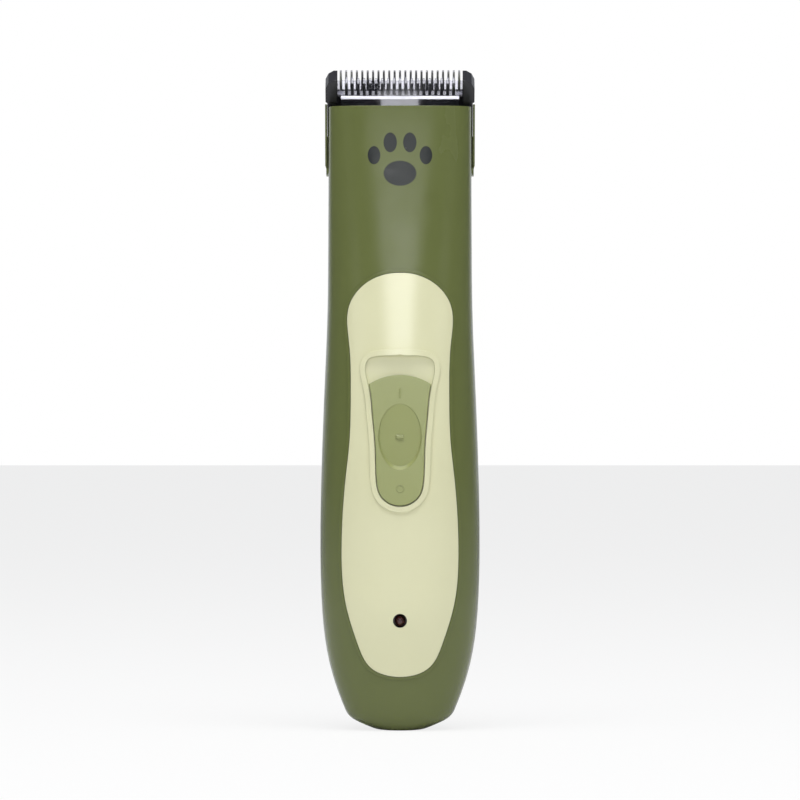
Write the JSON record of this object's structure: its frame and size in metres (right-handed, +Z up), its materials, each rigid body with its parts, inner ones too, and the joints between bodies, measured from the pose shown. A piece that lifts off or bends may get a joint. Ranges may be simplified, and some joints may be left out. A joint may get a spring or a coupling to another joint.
{
  "type": "pet clipper",
  "caption": "Cordless pet clipper: rounded two-shell body, front slide switch, tilting blade head with a fixed and a stroking comb blade, motor, cells and charging socket.",
  "frame": {"origin": "middle of the small flat under the rounded base", "axes": "+Z up the body to the tooth tips, X across the width, the switch side faces -Y"},
  "size_m": [0.0426, 0.0376, 0.176],
  "materials": {
    "green_plastic": "satin moulded plastic",
    "cream_plastic": "satin moulded plastic",
    "pale_green_plastic": "satin moulded plastic",
    "black_plastic": "moulded plastic",
    "blade_steel": "ground steel",
    "spring_steel": "rolled strip",
    "screw_steel": "nickel plated",
    "motor_steel": "zinc plated",
    "copper": "bare metal",
    "magnet": "sintered",
    "board_green": "coated laminate",
    "led_lens": "dark red lens",
    "cell_wrap": "shrink sleeve",
    "nickel": "nickel strip",
    "rubber_black": "moulded rubber",
    "white_plastic": "moulded plastic",
    "wire_red": "insulation",
    "wire_black": "insulation"
  },
  "bodies": {
    "housing": {"front_shell": "green_plastic", "rear_shell": "green_plastic", "front_panel": "cream_plastic", "slide_switch_body": "black_plastic", "circuit_board": "board_green", "board_screws": "screw_steel", "indicator_led": "led_lens", "charge_chip": "black_plastic", "board_resistors": "black_plastic", "board_diodes": "black_plastic", "board_capacitor": "black_plastic", "battery_cells": "cell_wrap", "cell_tabs": "nickel", "dc_jack": "black_plastic", "jack_pin": "nickel", "jack_terminals": "nickel", "motor_can": "motor_steel", "motor_end_cap": "black_plastic", "motor_bushes": "copper", "motor_magnets": "magnet", "motor_brushes": "copper", "motor_terminals": "copper", "motor_damper": "rubber_black", "motor_bracket": "white_plastic", "motor_screws": "screw_steel", "head_seat": "black_plastic", "latch_spring": "spring_steel", "housing_screws": "screw_steel", "cell_lead_red": "wire_red", "cell_lead_black": "wire_black", "jack_lead_red": "wire_red", "jack_lead_black": "wire_black", "motor_lead_red": "wire_red", "motor_lead_black": "wire_black"},
    "head": {"blade_carrier": "black_plastic", "fixed_blade": "blade_steel", "blade_screws": "screw_steel", "blade_spring": "spring_steel"},
    "cutter": {"moving_blade": "blade_steel", "drive_fork": "white_plastic"},
    "rotor": {"motor_shaft": "screw_steel", "rotor_core": "motor_steel", "commutator": "copper", "eccentric_cam": "white_plastic", "drive_pin": "screw_steel"},
    "switch": {"switch_button": "pale_green_plastic", "switch_carriage": "white_plastic", "slide_switch_lever": "black_plastic"}
  },
  "joints": [
    {"name": "head_hinge", "type": "hinge", "parent": "housing", "child": "head", "pos_m": [0, 0.0088, 0.1565], "axis": [-1, 0, 0], "range_deg": [0, 45]},
    {"name": "blade_stroke", "type": "slide", "parent": "head", "child": "cutter", "axis": [1, 0, 0], "range_m": [-0.0012, 0.0012]},
    {"name": "motor_spin", "type": "hinge", "parent": "housing", "child": "rotor", "pos_m": [0, -0.0005, 0.12], "axis": [0, 0, 1], "continuous": true},
    {"name": "switch_slide", "type": "slide", "parent": "housing", "child": "switch", "axis": [0, 0.0558, 0.9984], "range_m": [0, 0.0045]}
  ]
}
